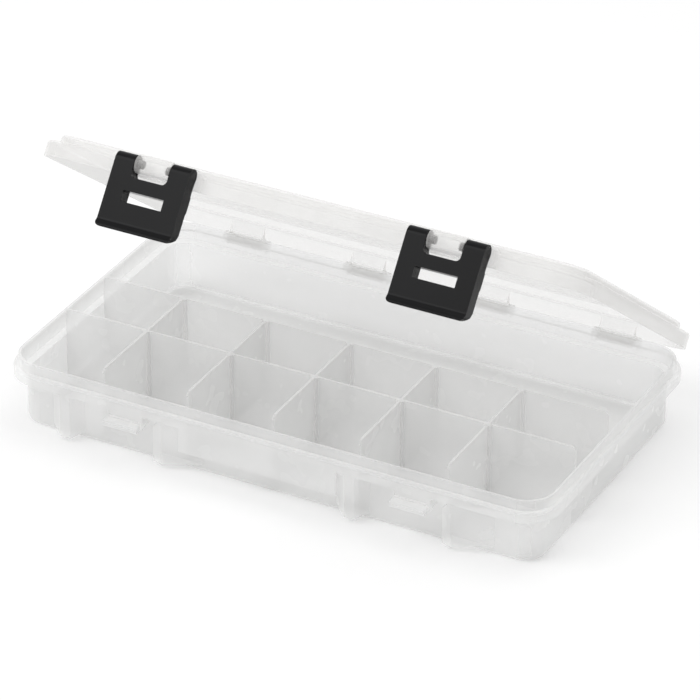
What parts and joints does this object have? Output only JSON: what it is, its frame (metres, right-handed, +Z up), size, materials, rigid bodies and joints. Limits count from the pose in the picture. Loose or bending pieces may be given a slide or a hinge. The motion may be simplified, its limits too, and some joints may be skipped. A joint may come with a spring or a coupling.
{
  "type": "tackle_box",
  "caption": "Shallow translucent compartment box: a divided tub, a see-through lid on snap hinges, shown part open, and black swing latches that hook under keepers.",
  "frame": {"origin": "centre of the tub's flat underside", "axes": "+X runs along the long side, to the right when facing the latches; +Y runs from the latches to the hinge; +Z is up, out of the tub"},
  "size_m": [0.356, 0.2174, 0.178],
  "materials": {
    "tub_plastic": "satin",
    "lid_plastic": "gloss",
    "latch_plastic": "gloss"
  },
  "bodies": {
    "box": {"tub": "tub_plastic", "row_divider": "tub_plastic", "rear_divider": "tub_plastic", "front_divider_1": "tub_plastic", "front_divider_2": "tub_plastic", "front_divider_3": "tub_plastic", "front_divider_4": "tub_plastic", "front_divider_5": "tub_plastic", "middle_divider_1": "tub_plastic", "middle_divider_2": "tub_plastic", "middle_divider_3": "tub_plastic", "middle_divider_4": "tub_plastic", "middle_divider_5": "tub_plastic"},
    "cover": {"lid": "lid_plastic"},
    "left_latch": {"latch_left": "latch_plastic"},
    "right_latch": {"latch_right": "latch_plastic"}
  },
  "joints": [
    {"name": "lid_hinge", "type": "hinge", "parent": "box", "child": "cover", "pos_m": [0, 0.1064, 0.036], "axis": [-1, 0, 0], "range_deg": [-37, 143]},
    {"name": "left_latch_pivot", "type": "hinge", "parent": "cover", "child": "left_latch", "pos_m": [-0.094, -0.05973, 0.17246], "axis": [-1, 0, 0], "range_deg": [0, 120]},
    {"name": "right_latch_pivot", "type": "hinge", "parent": "cover", "child": "right_latch", "pos_m": [0.094, -0.05973, 0.17246], "axis": [-1, 0, 0], "range_deg": [0, 120]}
  ]
}
